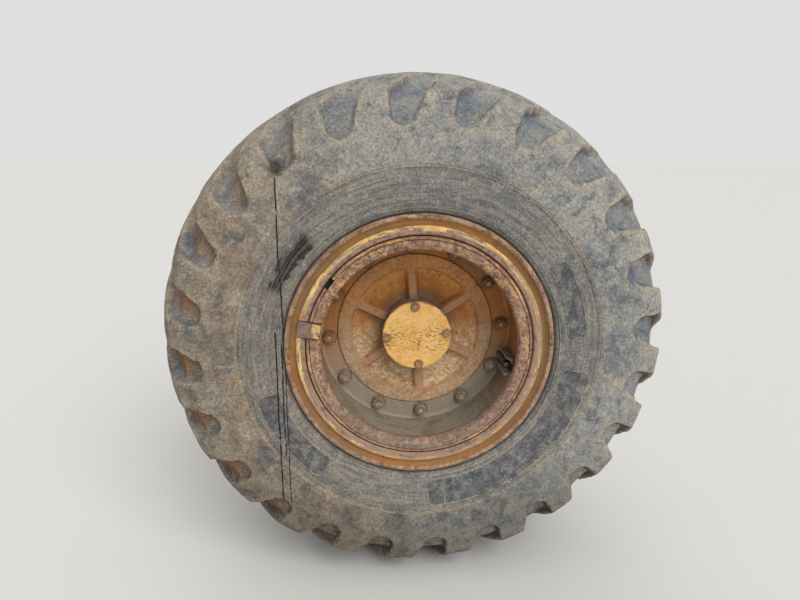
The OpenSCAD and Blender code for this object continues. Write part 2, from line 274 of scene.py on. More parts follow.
def tyre_rubber():
    f = Finish("tyre_rubber")
    facing = f.node("ShaderNodeSeparateXYZ", [f.normal])
    lee = f.math("MULTIPLY_ADD", facing.outputs[2], -0.85, f.math("MULTIPLY", facing.outputs[0], -0.5))
    broad = f.noise(4.5, 4, 0.55)
    cloudy = f.noise(13, 6, 0.62, shift=1.3)
    patchy = f.noise(34, 6, shift=4.1)
    fine = f.noise(150, 5, 0.75)
    grain = f.noise(420, 3, 0.6, shift=0.7)
    muddy = f.fall(f.math("MULTIPLY_ADD", f.z, 0.25, f.x), -440, 60)
    dust = f.mix(muddy, srgb(148, 148, 144), srgb(146, 130, 112))
    dust = f.fade(broad, 0.40, 0.60, dust, f.mix(muddy, srgb(128, 130, 131), srgb(128, 116, 104)))
    dust = f.fade(cloudy, 0.52, 0.66, dust, srgb(160, 154, 142), 0.8)
    dust = f.fade(cloudy, 0.46, 0.34, dust, srgb(98, 103, 108), 0.8)
    dust = f.fade(patchy, 0.50, 0.62, dust, srgb(172, 166, 154), 0.45)
    dust = f.fade(patchy, 0.46, 0.36, dust, srgb(92, 92, 92), 0.55)
    ringed = f.drawn(3, 0.14)
    low = f.fall(f.ragged(f.radius, patchy, 26), 481, 490)
    worn_low = f.fade(ringed, 0.40, 0.62, srgb(104, 102, 101), srgb(142, 137, 128))
    worn_low = f.fade(patchy, 0.52, 0.62, worn_low, srgb(154, 148, 138), 0.5)
    colour = f.over(dust, worn_low, low, f.remap(cloudy, 0.35, 0.65, 0.55, 0.9))
    for inner, outer, start, end in PANELS:
        colour = f.over(colour, f.fade(patchy, 0.42, 0.62, srgb(66, 71, 80), srgb(118, 119, 119)),
                        panel_mask(f, inner, outer, start, end), 0.68)
    # Painted shade on the rubber where the tyre meets the flange.
    colour = f.over(colour, srgb(60, 56, 52), f.fall(f.radius, 371, 379), 0.8)
    # Painted shade in the moulded step of the sidewall, and a painted highlight on the band just above it.
    colour = f.over(colour, srgb(80, 76, 72), f.within(f.radius, 484, 487, 1.2), 0.35)
    colour = f.over(colour, srgb(158, 140, 116), f.within(f.radius, 488.5, 498, 3),
                    f.rise(ringed, 0.42, 0.56), 0.6)
    cut = f.rise(f.attribute("cut"), 0.08, 0.42)
    # Mud with painted shade on down-facing groove walls, and on one side wall of the grooves on the left: tan
    # at the top, dark brown as painted shade to the right and at the bottom.
    overhung = f.both(cut, f.rise(lee, 0.14, 0.44))
    mud_and_shade = f.fade(f.x, -420, -140, srgb(150, 96, 48), srgb(86, 72, 56))
    mud_and_shade = f.fade(f.z, 100, 380, mud_and_shade, srgb(148, 120, 90))
    mud_and_shade = f.fade(patchy, 0.44, 0.62, mud_and_shade, srgb(112, 94, 74), 0.45)
    inner = f.fall(f.radius, 668, 700)
    sheltered = f.ragged(f.attribute("sheltered"), patchy, 1.4)
    sheltered = f.both(f.rise(sheltered, 0.35, 0.75), f.fall(f.x, -420, -160), inner, cut)
    colour = f.mix(f.either(f.both(overhung, 0.8), f.both(sheltered, 0.62)), colour, mud_and_shade)
    # Painted sky light on dust: groove floors that face up are turned blue-grey.
    dusty_skylit_floor = f.both(cut, f.fall(lee, -0.30, 0.10), inner)
    colour = f.over(colour, f.fade(cloudy, 0.4, 0.6, srgb(98, 110, 122), srgb(130, 132, 132)), dusty_skylit_floor, 0.60)
    # Painted shade in a band just inside the grooves' mouths, stronger to the right and at the bottom.
    shaded = f.either(f.rise(f.x, 60, 420), f.fall(f.z, -480, -240))
    shaded = f.remap(shaded, 0, 1, 0.26, 0.66)
    colour = f.over(colour, srgb(62, 56, 52), f.attribute("crevice_shade"), f.rise(patchy, 0.66, 0.46), shaded,
                    f.fall(f.radius, 676, 704))
    # Painted highlight along the grooves' mouths and on the moulded ridges.
    colour = f.over(colour, srgb(172, 160, 140), f.attribute("edge"), f.rise(patchy, 0.36, 0.52), 0.6)
    colour = f.shade(colour, fine, 0.34, 0.66, 0.58, 1.40)
    colour = f.shade(colour, grain, 0.3, 0.7, 0.80, 1.20)
    # Painted shade and light: the outer tyre darker towards the bottom and lighter towards the right.
    painted_low_shade = f.both(f.fall(f.z, -540, -200), f.rise(f.radius, 470, 520))
    colour = f.shade(colour, painted_low_shade, 0, 1, 1, 0.64)
    colour = f.shade(colour, f.x, -500, 500, 0.95, 1.06)
    colour = f.over(colour, srgb(24, 23, 24), oil_runs(f), outer_side(f))
    relief = f.bump(f.either(fine, f.both(f.noise(45, 5, 0.65), 1.2)), 0.0045)
    relief = f.bump(grain, 0.0014, relief)
    relief = f.bump(f.rise(f.cell_edges(90), 0, 0.06), 0.0006, relief)
    return f.finish(colour, f.remap(fine, 0.2, 0.8, 0.80, 0.97), relief, 0, 0.22)


def outer_side(f):
    """1 on the tyre's outer sidewall."""
    return f.fall(f.depth, 35, 45)


def panel_mask(f, inner, outer, start, end):
    """1 on a blank panel of the outer sidewall, whose middle angle is turned to 0 so that it doesn't wrap."""
    middle = math.radians((start + end) / 2)
    cos = f.math("ADD", f.math("MULTIPLY", f.cos, math.cos(middle)),
                 f.math("MULTIPLY", f.sin, math.sin(middle)))
    narrow = math.cos(math.radians((end - start) / 2))
    return f.both(f.within(f.radius, inner, outer, 3), f.rise(cos, narrow - 0.004, narrow + 0.004),
                  outer_side(f))


def oil_runs(f):
    """Thin black runs of oil straight down the outer sidewall, the splash where they start, and a smear."""
    x = f.ragged(f.x, f.noise(9, 3, 0.55), 8)
    broken = f.rise(f.noise(60, 3, 0.55, shift=0.4), 0.30, 0.44)
    found = None
    for place, half, top, bottom in OIL_RUNS:
        run = f.both(f.within(x, place - half, place + half, 1.1), f.within(f.z, bottom, top, 6), broken)
        found = run if found is None else f.either(found, run)
    away = f.ragged(f.distance(*SPLASH), f.noise(40, 4, 0.55, shift=0.9), 36)
    found = f.either(found, f.both(f.fall(away, 8, 34), f.remap(f.noise(55), 0.35, 0.6, 0.95, 0.6)))
    frayed = f.ragged(f.radius, f.noise(30, 5, 0.65, shift=1.7), 60)
    smear = f.both(f.within(frayed, 402, 440, 5), f.within(f.angle(), 133, 156, 2))
    drawn_out = f.drawn(2, 0.30, 5, 0.7)
    return f.either(found, f.both(smear, f.remap(drawn_out, 0.44, 0.56, 0.97, 0.50)))


def rusty(f, paint, rust, scale, dust, paint_cut=0.5, scale_cut=0.55, drawn=9):
    """Old paint that flakes to rust and dark scale, round the wheel: its colour, relief and bareness."""
    patches = f.drawn(drawn, 0.075, 5, 0.62)
    flakes = f.drawn(drawn * 3.2, 0.21, 5, 0.7)
    pits = f.noise(230, 4, 0.72)
    loose = f.math("MULTIPLY_ADD", flakes, 0.45, f.math("MULTIPLY", patches, 0.55))
    bare = f.rise(loose, paint_cut - 0.035, paint_cut + 0.02)
    colour = f.fade(flakes, 0.38, 0.62, f.scaled(rust, 0.78), f.scaled(rust, 1.2))
    colour = f.fade(f.noise(85, 6, 0.72, shift=3), scale_cut - 0.03, scale_cut + 0.05, colour, scale)
    colour = f.mix(bare, paint, colour)
    colour = f.fade(f.noise(14, 5, 0.6, shift=1.9), 0.46, 0.66, colour, dust, 0.5)
    colour = f.shade(colour, pits, 0.28, 0.72, 0.66, 1.30)
    painted = f.math("MULTIPLY", f.math("SUBTRACT", 1, bare), 0.5)
    relief = f.bump(f.math("MULTIPLY_ADD", pits, 0.5, painted), 0.0014)
    relief = f.bump(flakes, 0.0022, relief)
    return colour, relief, bare


def seam(f, colour, radius, half):
    """Black dirt in the gap between two rings."""
    line = f.both(f.within(f.radius, radius - half, radius + half, 0.7), f.fall(f.depth, 22, 30))
    return f.over(colour, srgb(38, 28, 22), line, 0.9)


def dark_pry_notch(f, colour):
    """The deep part of the pry notch is painted nearly black."""
    notch = f.both(f.within(f.angle(), *NOTCH_ANGLES, 0.4), f.rise(f.depth, 7.5, 9.5),
                   f.rise(f.radius, 297, 299))
    return f.over(colour, srgb(26, 20, 16), notch, 0.95)


def rim_rust():
    f = Finish("rim_rust")
    paint = f.fade(f.noise(30, 3, 0.55), 0.4, 0.6, srgb(204, 164, 118), srgb(184, 142, 104))
    colour, relief, bare = rusty(f, paint, srgb(154, 116, 92), srgb(100, 82, 76), srgb(176, 146, 122),
                                 0.46, 0.52, 12)
    worn = f.rise(f.noise(34), 0.5, 0.6)
    colour = f.over(colour, srgb(122, 102, 96), f.within(f.radius, 284, 299, 3), worn, 0.6)
    pale = f.fade(f.z, -60, 120, srgb(206, 172, 140), srgb(196, 158, 112))
    colour = f.fade(f.noise(62, 7, 0.8, shift=5.2), 0.53, 0.58, colour, pale, 0.7)
    colour = f.fade(f.noise(80, 7, 0.8, shift=9.4), 0.55, 0.59, colour, srgb(92, 74, 68), 0.7)
    colour = f.over(colour, srgb(110, 104, 98), f.fall(f.z, -220, 60), 0.46)
    inside = f.rise(f.ragged(f.depth, f.noise(48, shift=2.4), 60), 24, 48)
    wall = f.fade(f.noise(7, 4, 0.55, shift=6), 0.36, 0.62, srgb(178, 114, 54), srgb(162, 98, 42))
    wall = f.fade(f.z, 40, -210, wall, srgb(138, 134, 122), 0.95)
    wall = f.fade(f.drawn(5, 0.03), 0.48, 0.62, wall, srgb(108, 88, 68), 0.5)
    lengthwise = f.stretched((34, 2.5, 34), 5, 0.65)
    wall = f.fade(lengthwise, 0.5, 0.64, wall, srgb(128, 104, 76), 0.5)
    wall = f.fade(f.noise(70, 6, 0.75), 0.56, 0.64, wall, srgb(98, 80, 64), 0.5)
    wall = f.shade(wall, f.noise(200, 4, 0.55), 0.3, 0.7, 0.80, 1.20)
    colour = f.mix(inside, colour, wall)
    return f.finish(dark_pry_notch(f, seam(f, colour, LIP_R, 1.4)), rough(f, bare), relief, 0, 0.3)


def rough(f, bare):
    """Roughness: paint is smoother than bare rust."""
    return f.remap(bare, 0, 1, 0.58, 0.9)


def flange_rust():
    f = Finish("flange_rust")
    band = f.within(f.radius, 336, 356, 3)
    streak = f.drawn(4, 0.13)
    hollow = f.fade(streak, 0.38, 0.6, srgb(170, 120, 50), srgb(146, 110, 64))
    hollow = f.fade(f.noise(6, 4, 0.55, shift=2.2), 0.48, 0.62, hollow, srgb(158, 104, 62))
    hollow = f.fade(f.noise(60, 5, 0.75), 0.56, 0.64, hollow, srgb(112, 84, 58), 0.6)
    edge = f.fade(f.noise(38), 0.42, 0.58, srgb(196, 164, 136), srgb(170, 134, 108))
    colour, relief, _ = rusty(f, edge, srgb(152, 114, 92), srgb(104, 84, 78), srgb(176, 150, 128),
                              0.5, 0.54, 12)
    hollow = f.fade(f.x, 120, 300, hollow, srgb(124, 94, 60), 0.6)
    streaked = f.both(f.fall(f.x, -260, 40), f.rise(streak, 0.46, 0.58))
    hollow = f.over(hollow, srgb(136, 108, 88), streaked, 0.6)
    colour = f.over(colour, hollow, band, 0.9)
    colour = f.shade(colour, f.x, -330, 40, 0.76, 0.90)
    return f.finish(colour, 0.82, relief, 0, 0.3)


def seat_paint():
    """The bead seat band: bare grey-brown inside, and what is left of cream paint on its outer half."""
    f = Finish("band_cream")
    paint = f.fade(f.noise(40, 4, 0.55), 0.42, 0.6, srgb(226, 192, 126), srgb(206, 162, 96))
    colour, relief, bare = rusty(f, paint, srgb(156, 124, 104), srgb(108, 90, 86), srgb(176, 150, 124),
                                 0.52, 0.52, 5)
    lost = f.fade(f.noise(90, 6, 0.75, shift=4.4), 0.44, 0.58, srgb(152, 122, 108), srgb(112, 92, 86))
    worn_off = f.ragged(f.radius, f.drawn(3, 0.1, 4, 0.6), 22)
    colour = f.over(colour, lost, f.fall(worn_off, 323, 327), 0.92)
    lower = f.fall(f.math("MULTIPLY_ADD", f.x, -0.5, f.z), -40, 180)
    gone = f.both(lower, f.rise(f.drawn(8, 0.12), 0.44, 0.52))
    colour = f.over(colour, srgb(158, 132, 112), gone, 0.85)
    colour = seam(f, colour, BAND_GAP_R, 1.7)
    return f.finish(colour, rough(f, bare), relief, 0, 0.32)


def lock_paint():
    """The lock ring: orange-cream paint that has flaked off in long pieces."""
    f = Finish("lock_cream")
    paint = f.fade(f.noise(40, 4, 0.55), 0.4, 0.6, srgb(214, 172, 112), srgb(204, 148, 88))
    colour, relief, bare = rusty(f, paint, srgb(158, 114, 84), srgb(110, 88, 78), srgb(172, 140, 114),
                                 0.46, 0.50, 5)
    colour = seam(f, colour, BAND_GAP_R, 1.7)
    colour = seam(f, colour, LOCK_BORE_R, 1.2)
    return f.finish(dark_pry_notch(f, colour), rough(f, bare), relief, 0, 0.32)


def key_steel():
    f = Finish("key_steel")
    colour = f.fade(f.noise(60), 0.4, 0.6, srgb(134, 108, 92), srgb(104, 94, 92))
    inner = f.fall(f.radius, 297, 301)
    colour = f.over(colour, srgb(212, 172, 112), inner, f.rise(f.noise(45, 4, 0.55), 0.4, 0.5), 0.85)
    sides = f.math("SUBTRACT", 1, f.within(f.angle(), *KEY_ANGLES, 0.35))
    colour = f.over(colour, srgb(48, 38, 32), sides, 0.9)
    return f.finish(colour, 0.75, f.bump(f.noise(160), 0.0012), 0, 0.35)


def disc_paint():
    f = Finish("disc_paint")
    colour = f.fade(f.noise(6, 4, 0.55, shift=5), 0.4, 0.6, srgb(176, 116, 58), srgb(156, 108, 64))
    colour = f.fade(f.z, 60, -190, colour, srgb(140, 136, 124), 0.92)
    colour = f.fade(f.noise(120), 0.54, 0.64, colour, srgb(112, 88, 62), 0.5)
    colour = f.fade(f.drawn(4, 0.22, 4, 0.6), 0.52, 0.66, colour, srgb(160, 142, 112), 0.4)
    # Painted shade: a dark ring on the disc round the foot of each nut.
    for turn in range(NUTS):
        away = f.from_spot(NUT_CIRCLE, TURN + turn * 360 / NUTS)
        away = f.ragged(away, f.noise(60, 4, 0.55), 8)
        colour = f.over(colour, srgb(84, 62, 42), f.fall(away, 20, 26), 0.6)
    colour = f.over(colour, srgb(54, 40, 30), f.within(f.radius, 231, 234, 0.8), 0.6)
    colour = f.fade(f.radius, 281, 284.5, colour, srgb(176, 164, 140), 0.45)
    colour = f.shade(colour, f.noise(240, 3, 0.55), 0.3, 0.7, 0.82, 1.18)
    relief = f.bump(f.noise(90, 5, 0.65), 0.0014)
    return f.finish(colour, 0.85, relief, 0, 0.28)


def housing_paint():
    f = Finish("housing_paint")
    broad = f.noise(9, 5, 0.6, shift=7)
    cloudy = f.noise(26, 5, 0.65, shift=2.7)
    speckle = f.noise(120, 6, 0.75)
    pan = f.attribute("pan")
    top = f.fade(broad, 0.38, 0.6, srgb(196, 140, 70), srgb(176, 112, 56))
    low = f.fade(speckle, 0.42, 0.60, srgb(186, 152, 114), srgb(212, 190, 154))
    colour = f.fade(f.z, 70, -60, top, low)
    colour = f.fade(cloudy, 0.48, 0.62, colour, srgb(166, 112, 64), 0.6)
    lit = f.both(f.rise(f.radius, 150, 186), f.rise(f.z, 0, 80), f.rise(speckle, 0.40, 0.58))
    colour = f.over(colour, srgb(216, 156, 84), lit, 0.75)
    # Grey dirt round the nose with painted shade: darker in the upper half.
    dirt_and_shade_round_nose = f.fade(f.z, -20, 60, srgb(140, 118, 90), srgb(100, 82, 64))
    colour = f.over(colour, dirt_and_shade_round_nose, f.fall(f.radius, 108, 142), 0.6)
    ring = f.fade(cloudy, 0.4, 0.62, srgb(176, 142, 114), srgb(154, 128, 102))
    ring = f.fade(speckle, 0.54, 0.64, ring, srgb(124, 94, 66), 0.5)
    ring = f.over(ring, srgb(164, 142, 122), f.fall(f.x, -160, 60), 0.5)
    upper = f.fade(cloudy, 0.42, 0.6, srgb(188, 136, 86), srgb(166, 118, 78))
    ring = f.fade(f.z, 0, 150, ring, upper, 0.75)
    colour = f.over(colour, ring, f.fall(f.ragged(pan, cloudy, 2.4), -0.2, 1.1), 0.62)
    ribs = f.both(f.fall(pan, 0.1, 0.4), f.fall(f.radius, 190, 204))
    colour = f.over(colour, srgb(176, 130, 98), ribs, 0.75)
    nose = f.fade(cloudy, 0.45, 0.6, srgb(128, 118, 106), srgb(142, 104, 74))
    colour = f.over(colour, nose, f.fall(f.radius, 104, 112), 0.85)
    colour = f.fade(f.noise(40, 6, 0.75, shift=1.1), 0.56, 0.64, colour, srgb(136, 84, 46), 0.6)
    colour = f.fade(f.radius, 230.6, 232, colour, srgb(58, 44, 32), 0.6)
    colour = f.shade(colour, speckle, 0.3, 0.7, 0.78, 1.22)
    colour = f.shade(colour, f.x, -180, 60, 0.86, 1)
    relief = f.bump(f.noise(75, 5, 0.6), 0.0022)
    relief = f.bump(speckle, 0.0010, relief)
    return f.finish(colour, 0.84, relief, 0, 0.3)


def cap_paint():
    f = Finish("cap_paint")
    broad = f.noise(16, 5, 0.65)
    patchy = f.noise(60, 6, 0.75, shift=3.3)
    colour = f.fade(broad, 0.40, 0.60, srgb(228, 182, 108), srgb(216, 166, 84))
    colour = f.fade(patchy, 0.50, 0.60, colour, srgb(222, 184, 138), 0.7)
    colour = f.fade(patchy, 0.46, 0.38, colour, srgb(204, 148, 76), 0.6)
    middle = f.fall(f.math("ABSOLUTE", f.math("ADD", f.z, 8)), 26, 60)
    chance = f.math("MULTIPLY_ADD", middle, 0.075, f.stretched((80, 80, 230), 6, 0.8))
    colour = f.fade(chance, 0.57, 0.64, colour, srgb(176, 134, 96), 0.55)
    chips = f.rise(chance, 0.640, 0.665)
    colour = f.over(colour, srgb(84, 66, 50), chips, 0.85)
    worn = f.both(f.rise(f.radius, 95, 101), f.rise(f.noise(50, 4, 0.55), 0.45, 0.55))
    colour = f.over(colour, srgb(150, 112, 78), worn, 0.8)
    for turn in range(CAP_BOLTS):
        away = f.from_spot(CAP_BOLT_CIRCLE, TURN + turn * 360 / CAP_BOLTS)
        stain = f.fall(f.math("MULTIPLY_ADD", f.noise(90, 4, 0.55), 6, away), 15, 19)
        colour = f.over(colour, srgb(112, 82, 60), stain, 0.8)
    colour = f.shade(colour, f.noise(300, 4), 0.3, 0.7, 0.88, 1.12)
    relief = f.bump(f.noise(60, 4, 0.55), 0.0010)
    relief = f.bump(f.math("SUBTRACT", 1, chips), 0.0006, relief)
    return f.finish(colour, 0.7, relief, 0, 0.35)


def nut_iron():
    """Wheel nuts: rust above, pale dust on the lower ones, and the pale bare end of each stud with a painted
    highlight.
    """
    f = Finish("nut_iron")
    round_wheel = f.math("WRAP", f.math("SUBTRACT", f.angle(), TURN), 180 / NUTS, -180 / NUTS)
    aside = f.math("MULTIPLY", round_wheel, math.radians(1) * NUT_CIRCLE)
    away = f.length(aside, f.math("SUBTRACT", f.radius, NUT_CIRCLE))
    rust = f.fade(f.noise(45), 0.38, 0.62, srgb(158, 108, 68), srgb(118, 84, 58))
    dusty = f.fade(f.noise(70), 0.4, 0.6, srgb(150, 136, 114), srgb(118, 104, 88))
    colour = f.fade(f.z, 40, -120, rust, dusty)
    colour = f.over(colour, srgb(70, 56, 46), f.within(away, 10.4, 11.8, 0.8), 0.6)
    # Painted highlight on the bare steel at the end of each stud.
    stud = f.both(f.fall(away, 4, 7.5), f.rise(f.noise(90, 4, 0.55), 0.42, 0.54))
    colour = f.over(colour, srgb(190, 180, 160), stud, 0.7)
    colour = f.shade(colour, f.noise(300, 3, 0.55), 0.3, 0.7, 0.8, 1.2)
    return f.finish(colour, 0.75, f.bump(f.noise(140), 0.0012), 0, 0.4)


def bolt_iron():
    f = Finish("bolt_iron")
    colour = f.fade(f.noise(45), 0.38, 0.62, srgb(162, 130, 98), srgb(134, 104, 78))
    colour = f.fade(f.noise(110, shift=0.6), 0.5, 0.62, colour, srgb(150, 98, 58), 0.7)
    colour = f.shade(colour, f.noise(300, 3, 0.55), 0.3, 0.7, 0.8, 1.2)
    return f.finish(colour, 0.8, f.bump(f.noise(140), 0.0012), 0, 0.35)


def guard_iron():
    """The valve's guard: worn grey outside and on its edges, and nearly black inside as painted shade."""
    f = Finish("guard_iron")
    colour = f.fade(f.noise(50), 0.4, 0.6, srgb(150, 142, 130), srgb(116, 106, 96))
    colour = f.fade(f.noise(110, shift=0.6), 0.52, 0.62, colour, srgb(136, 94, 60), 0.6)
    # Painted shade: nearly black inside the guard round the valve.
    hollow = f.both(f.fall(beside_valve(f), 12, 15), f.fall(f.depth, 96, 116))
    colour = f.over(colour, srgb(26, 22, 20), hollow, 0.92)
    return f.finish(colour, 0.7, f.bump(f.noise(140), 0.0010), 0.2, 0.4)


def valve_brass():
    f = Finish("valve_brass")
    colour = f.fade(f.noise(70, 4, 0.55), 0.4, 0.6, srgb(196, 190, 168), srgb(150, 142, 120))
    colour = f.mix(f.fall(beside_valve(f), 2.2, 3.2), colour, srgb(20, 18, 16))
    colour = f.fade(f.depth, 74, 76, colour, srgb(40, 34, 30))
    colour = f.fade(f.depth, 84, 104, colour, srgb(116, 100, 84))
    return f.finish(colour, 0.45, None, 0.6, 0.5)


def beside_valve(f):
    """Distance from the valve's axis, in millimetres."""
    return f.from_spot(VALVE_R, VALVE_ANGLE)


def axle_paint():
    f = Finish("axle_paint")
    paint = f.fade(f.noise(10, 4, 0.55), 0.4, 0.6, srgb(166, 108, 42), srgb(146, 92, 38))
    colour, relief, _ = rusty(f, paint, srgb(132, 84, 48), srgb(92, 70, 58), srgb(146, 122, 90), 0.54, 0.56)
    grease = f.both(f.rise(f.noise(8, 4, 0.55, shift=8), 0.52, 0.64), 0.7)
    colour = f.mix(grease, colour, srgb(64, 52, 42))
    return f.finish(colour, f.remap(grease, 0, 0.7, 0.82, 0.5), relief, 0, 0.35)


def brake_steel():
    f = Finish("brake_steel")
    swept = f.within(f.radius, 172, 243, 2)
    streak = f.drawn(1.5, 0.9, 5, 0.7)
    colour = f.fade(streak, 0.35, 0.65, srgb(130, 116, 104), srgb(104, 84, 68))
    rust = f.fade(f.noise(60), 0.4, 0.6, srgb(138, 86, 50), srgb(108, 70, 46))
    colour = f.mix(swept, rust, colour)
    return f.finish(colour, f.remap(swept, 0, 1, 0.85, 0.45), f.bump(streak, 0.0006), 0.6, 0.5)


# Meshes.

def piece(name, vertices, faces, material, body, *nodes):
    """A new piece from vertices in millimetres. It rides on body and stands for the nodes named."""
    mesh = bpy.data.meshes.new(name)
    mesh.from_pydata((np.asarray(vertices) * MM).tolist(), [], faces)
    mesh.validate()
    mesh.update()
    mesh.polygons.foreach_set("use_smooth", [True] * len(mesh.polygons))
    mesh.materials.append(material)
    made = bpy.data.objects.new(name, mesh)
    bpy.context.scene.collection.objects.link(made)
    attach(made, body)
    if nodes:
        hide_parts(*nodes)
    return made


def grid_faces(rows, columns):
    """Quads of a grid that is closed both ways. Vertex (row, column) has index row * columns + column."""
    a, b = np.meshgrid(np.arange(rows), np.arange(columns), indexing="ij")
    a2 = (a + 1) % rows
    b2 = (b + 1) % columns
    quads = np.stack([a * columns + b, a * columns + b2, a2 * columns + b2, a2 * columns + b], axis=-1)
    return quads.reshape(-1, 4).tolist()


def polar(radius, angle, out):
    """Points in the wheel's own frame, whose Z is the axis, from radius, angle in degrees and height."""
    a = np.radians(angle)
    return np.stack([radius * np.cos(a), radius * np.sin(a), out], axis=-1)


def to_frame(radius, angle, out):
    """Frame coordinates from the wheel's radius, angle in degrees and distance out, in millimetres."""
    return polar(radius, angle, out)[..., [0, 2, 1]] * (1.0, -1.0, 1.0)


def wander(points, scale, seed):
    """Smooth random values from -1 to 1 at points, from a sum of sine waves in seeded directions."""
    rng = np.random.default_rng(seed)
    total = np.zeros(len(points))
    for _ in range(12):
        direction = rng.normal(size=3)
        direction *= rng.uniform(0.6, 1.6) / (np.linalg.norm(direction) * scale)
        total += np.sin(points @ direction * 2 * math.pi + rng.uniform(0, 2 * math.pi))
    return total / 4.0


# Tyre: the uncut outer section, then grooves cut into it along its inward direction.

CROWN_DROP = 55


def crown(x):
    """Radius of the uncut tread at x from the centre plane."""
    arc = (HALF_TREAD ** 2 + CROWN_DROP ** 2) / (2 * CROWN_DROP)
    return TYRE_R - arc + math.sqrt(arc * arc - x * x)


def side(t):
    """Radius at a share t of the way up the sidewall."""
    return FLANGE_R + t * (SHOULDER_R - FLANGE_R)


def outer_section():
    """The uncut section from the bead toe to the crown's middle, as (radius, distance from the centre)."""
    points = [
        (SEAT_R - 4.4, HALF_RIM - 54), (SEAT_R + 0.3, HALF_RIM - 3), (SEAT_R + 3, HALF_RIM - 0.3),
        (FLANGE_R - 23, HALF_RIM - 0.3), (FLANGE_R - 15, HALF_RIM + 2), (FLANGE_R - 8, HALF_RIM + 7.2),
        (FLANGE_R - 2, HALF_RIM + 13.2), (FLANGE_R + 3, HALF_RIM + 19),
    ]
    for t, inset in ((0.039, 18.5), (0.07, 15), (0.116, 12), (0.17, 8.6), (0.233, 5.5), (0.30, 3.9),
                     (0.368, 3.2), (0.374, 2.6), (0.384, 0.4), (0.390, 0), (0.45, -0.6), (0.52, -0.5),
                     (0.580, 0.4), (0.64, 2.8), (0.693, 6), (0.76, 11.3), (0.822, 17), (0.88, 23),
                     (0.929, 29), (0.965, 33.4), (0.987, 37)):
        points.append((side(t), HALF_W - inset))
    for k in (0.965, 0.93, 0.88, 0.82, 0.74, 0.66, 0.57, 0.48, 0.37, 0.25, 0.12, 0):
        points.append((crown(k * HALF_TREAD), k * HALF_TREAD))
    return np.array(points)


def spaced(points, spacing):
    """Points along a polyline, spacing(point) apart, with its two ends kept."""
    steps = np.linalg.norm(np.diff(points, axis=0), axis=1)
    along = np.concatenate([[0], np.cumsum(steps)])
    places = [0]
    while places[-1] < along[-1]:
        here = np.array([np.interp(places[-1], along, points[:, i]) for i in range(2)])
        places.append(places[-1] + spacing(here))
    places = np.array(places) * along[-1] / places[-1]
    return np.stack([np.interp(places, along, points[:, i]) for i in range(2)], axis=1)


GROOVE_IN = np.array([SHOULDER_R - 80, HALF_TREAD + 6])
GROOVE_BEND = np.array([SHOULDER_R - 38, HALF_TREAD - 2])
GROOVE_OUT = np.array([TYRE_R - 6, HALF_TREAD - 158])
GROOVE_LEAN = math.radians(29.6)
GROOVE_DEEP = 36
WALL_POWER = 9
CHANNEL_R = 45
ARCH_R = 37
ARCH_AT = (GROOVE_IN[0] + 22, 9)
# The direction of a groove's floor under the tread: how fast it runs inward and how fast it climbs.
FLOOR_RUN = 0.873
FLOOR_CLIMB = 0.487
# Depths of the cut are searched in steps down to the deepest. The skin starts a little inside the solid's.
CUT_STEP = 1.5
CUT_DEEPEST = 66
SKIN_INSET = 1.4
WIDEST = HALF_W - 2


def over_floor(x, out, start, end):
    """Place of points along a groove's floor that runs from start to end, and their height over it."""
    along = (end - start) / np.linalg.norm(end - start)
    dx, dz = x - start[0], out - start[1]
    return dx * along[0] + dz * along[1], dz * along[0] - dx * along[1]


def smooth_max(a, b, soft):
    """The larger of two, rounded where they are less than soft apart."""
    h = np.maximum(soft - np.abs(a - b), 0) / soft
    return np.maximum(a, b) + h * h * soft / 4


def groove_depth(points):
    """How deep points, in the tyre's own frame, lie inside the nearest groove: above 0 inside one."""
    angle = np.degrees(np.arctan2(points[:, 1], points[:, 0]))
    radius = np.hypot(points[:, 0], points[:, 1])
    deepest = np.full(len(points), -1e9)
    for flip in (1, -1):
        own = np.mod(flip * (angle - (0 if flip > 0 else PITCH / 2)), PITCH)
        for turn in (-2, -1, 0, 1):
            a = np.radians(own + turn * PITCH)
            x, y, out = radius * np.cos(a), radius * np.sin(a), flip * points[:, 2]
            height = over_floor(x, out, GROOVE_IN, GROOVE_BEND)[1]
            arch = carved(height, beside_wedge(x - ARCH_AT[0], y - ARCH_AT[1]) / ARCH_R)
            along, height = over_floor(x, out, GROOVE_BEND, GROOVE_OUT)
            aside = y * math.cos(GROOVE_LEAN) + along * math.sin(GROOVE_LEAN)
            further = along * math.cos(GROOVE_LEAN) - y * math.sin(GROOVE_LEAN)
            channel = np.minimum(carved(height, np.abs(aside) / CHANNEL_R), further + 12)
            deepest = np.maximum(deepest, smooth_max(arch, channel, 6))
    return deepest


def beside_wedge(x, y):
    """Distance from the wedge that opens outward from the arch's centre, from radial to the grooves' lean."""
    def beside(angle):
        along = x * math.cos(angle) + y * math.sin(angle)
        return np.where(along > 0, y * math.cos(angle) - x * math.sin(angle), np.hypot(x, y))
    upper, lower = beside(0), beside(-GROOVE_LEAN)
    within = (x > 0) & (upper < 0) & (lower > 0)
    return np.where(within, 0, np.minimum(np.abs(upper), np.abs(lower)))


def carved(height, share):
    """Depth inside a hollow whose floor curves up to steep walls where share is 1."""
    slope = WALL_POWER * GROOVE_DEEP * share ** (WALL_POWER - 1) / ARCH_R
    return (height - GROOVE_DEEP * share ** WALL_POWER) / np.sqrt(1 + slope * slope)


def column_angles():
    """Angles across one pitch, closer together where a groove's walls are."""
    edges = [(-7.5, -5.2, 3), (-5.2, -2.4, 9), (-2.4, 2, 4), (2, 4.6, 9), (4.6, 7.5, 3)]
    return np.concatenate([np.linspace(a, b, n, endpoint=False) for a, b, n in edges])


